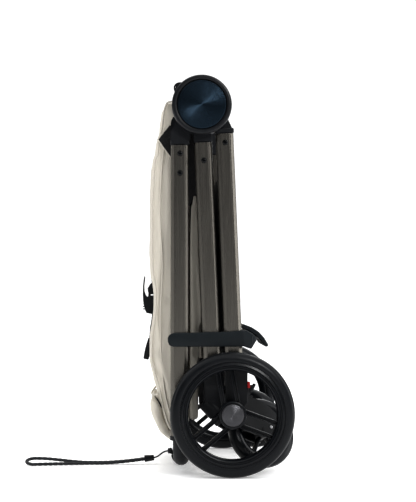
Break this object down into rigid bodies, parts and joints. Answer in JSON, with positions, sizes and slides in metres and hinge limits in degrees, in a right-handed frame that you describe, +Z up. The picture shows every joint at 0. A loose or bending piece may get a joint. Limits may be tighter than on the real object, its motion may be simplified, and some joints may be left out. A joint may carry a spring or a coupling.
{
  "type": "pet stroller",
  "caption": "Folding pet stroller, folded flat: round side hubs, parallel frame tubes, soft cabin, spoked wheels, swivel casters and a U-shaped grip with a wrist strap.",
  "frame": {"origin": "on the floor, under the middle of the folded stroller's depth and width", "axes": "+Z up, +X to the stroller's left side, +Y to its rear"},
  "size_m": [0.5288, 0.5086, 0.7286],
  "materials": {
    "frame": "brushed dark bronze anodised",
    "black": "fine textured black",
    "cap": "radially brushed, dark navy anodised",
    "tyre": "matt foam-filled tread",
    "rim": "satin black",
    "grey": "satin grey",
    "leather": "black fine-grain leatherette",
    "fabric": "beige woven polyester",
    "mesh": "black net",
    "cord": "braided black cord",
    "steel": "bare steel"
  },
  "bodies": {
    "hub": {"hub_axle_bar": "steel", "hub_ring_left": "black", "hub_ring_right": "black", "hub_cap_left": "cap", "hub_cap_right": "cap", "hub_inner_cover_left": "black", "hub_inner_cover_right": "black"},
    "rear_frame": {"rear_cross_tube": "black", "storage_basket": "mesh", "rear_leg_left": "frame", "rear_leg_right": "frame", "rear_knuckle_left": "black", "rear_knuckle_right": "black", "rear_housing_left": "black", "rear_housing_right": "black"},
    "front_frame": {"front_cross_tube": "black", "front_panel": "fabric", "front_leg_left": "frame", "front_leg_right": "frame", "front_knuckle_left": "black", "front_knuckle_right": "black", "swivel_housing_left": "black", "swivel_housing_right": "black"},
    "handle": {"grip": "leather", "seat_back_panel": "fabric", "storage_pocket": "fabric", "side_bellows": "fabric", "buckle_socket": "black", "strap_knot": "cord", "strap_cord": "cord", "strap_ferrule": "black", "strap_loop": "cord", "handle_tube_left": "frame", "handle_tube_right": "frame", "handle_knuckle_left": "black", "handle_knuckle_right": "black"},
    "latch": {"latch_bar": "black", "latch_arm_left": "black", "latch_arm_right": "black"},
    "buckle_tongue": {"buckle_plug": "black"},
    "zip_puller": {"zip_pull": "black"},
    "release_button_left": {"fold_release_left": "black"},
    "rear_wheel_left": {"rear_tyre_left": "tyre", "rear_rim_left": "rim", "rear_cap_left": "grey"},
    "brake_pedal_left": {"brake_pedal_left": "grey"},
    "caster_left": {"caster_fork_left": "black"},
    "front_wheel_left": {"front_tyre_left": "tyre", "front_rim_left": "rim"},
    "release_button_right": {"fold_release_right": "black"},
    "rear_wheel_right": {"rear_tyre_right": "tyre", "rear_rim_right": "rim", "rear_cap_right": "grey"},
    "brake_pedal_right": {"brake_pedal_right": "grey"},
    "caster_right": {"caster_fork_right": "black"},
    "front_wheel_right": {"front_tyre_right": "tyre", "front_rim_right": "rim"}
  },
  "joints": [
    {"name": "handle_unfold", "type": "hinge", "parent": "front_frame", "child": "handle", "pos_m": [0, -0.0309, 0.674], "axis": [-1, 0, 0], "range_deg": [0, 180], "deforming": ["side_bellows"]},
    {"name": "front_unfold", "type": "hinge", "parent": "hub", "child": "front_frame", "pos_m": [0, -0.0309, 0.674], "axis": [-1, 0, 0], "range_deg": [0, 43]},
    {"name": "rear_unfold", "type": "hinge", "parent": "hub", "child": "rear_frame", "pos_m": [0, -0.0309, 0.674], "axis": [1, 0, 0], "range_deg": [0, 28]},
    {"name": "latch_swing", "type": "hinge", "parent": "rear_frame", "child": "latch", "pos_m": [0, 0.0264, 0.246], "axis": [-1, 0, 0], "range_deg": [0, 22]},
    {"name": "buckle_release", "type": "slide", "parent": "handle", "child": "buckle_tongue", "axis": [0, 0, 1], "range_m": [0, 0.03]},
    {"name": "zip_pull_swing", "type": "hinge", "parent": "handle", "child": "zip_puller", "pos_m": [0.026, -0.1257, 0.28], "axis": [-1, 0, 0], "range_deg": [0, 100]},
    {"name": "fold_release_press_left", "type": "slide", "parent": "hub", "child": "release_button_left", "axis": [-1, 0, 0], "range_m": [0, 0.004], "stiffness_N_per_m": 300},
    {"name": "rear_wheel_spin_left", "type": "hinge", "parent": "rear_frame", "child": "rear_wheel_left", "pos_m": [0.245, 0.0238, 0.1125], "axis": [1, 0, 0], "continuous": true},
    {"name": "brake_press_left", "type": "hinge", "parent": "rear_frame", "child": "brake_pedal_left", "pos_m": [0.2155, 0.044, 0.14], "axis": [-1, 0, 0], "range_deg": [0, 20]},
    {"name": "caster_swivel_left", "type": "hinge", "parent": "front_frame", "child": "caster_left", "pos_m": [0.183, -0.0079, 0.1191], "axis": [0, -0.682, 0.7314], "range_deg": [-33, 12]},
    {"name": "front_wheel_spin_left", "type": "hinge", "parent": "caster_left", "child": "front_wheel_left", "pos_m": [0.1623, 0.0802, 0.07136], "axis": [0.8387, 0.3983, 0.3714], "continuous": true},
    {"name": "fold_release_press_right", "type": "slide", "parent": "hub", "child": "release_button_right", "axis": [1, 0, 0], "range_m": [0, 0.004], "stiffness_N_per_m": 300},
    {"name": "rear_wheel_spin_right", "type": "hinge", "parent": "rear_frame", "child": "rear_wheel_right", "pos_m": [-0.245, 0.0238, 0.1125], "axis": [1, 0, 0], "continuous": true},
    {"name": "brake_press_right", "type": "hinge", "parent": "rear_frame", "child": "brake_pedal_right", "pos_m": [-0.2155, 0.044, 0.14], "axis": [-1, 0, 0], "range_deg": [0, 20]},
    {"name": "caster_swivel_right", "type": "hinge", "parent": "front_frame", "child": "caster_right", "pos_m": [-0.183, -0.0079, 0.1191], "axis": [0, 0.682, -0.7314], "range_deg": [-33, 12]},
    {"name": "front_wheel_spin_right", "type": "hinge", "parent": "caster_right", "child": "front_wheel_right", "pos_m": [-0.1623, 0.0802, 0.07136], "axis": [0.8387, -0.3983, -0.3714], "continuous": true}
  ],
  "couplings": [
    {"joint": "front_unfold", "follows": "handle_unfold", "ratio": 0.23889},
    {"joint": "rear_unfold", "follows": "handle_unfold", "ratio": 0.15556}
  ]
}
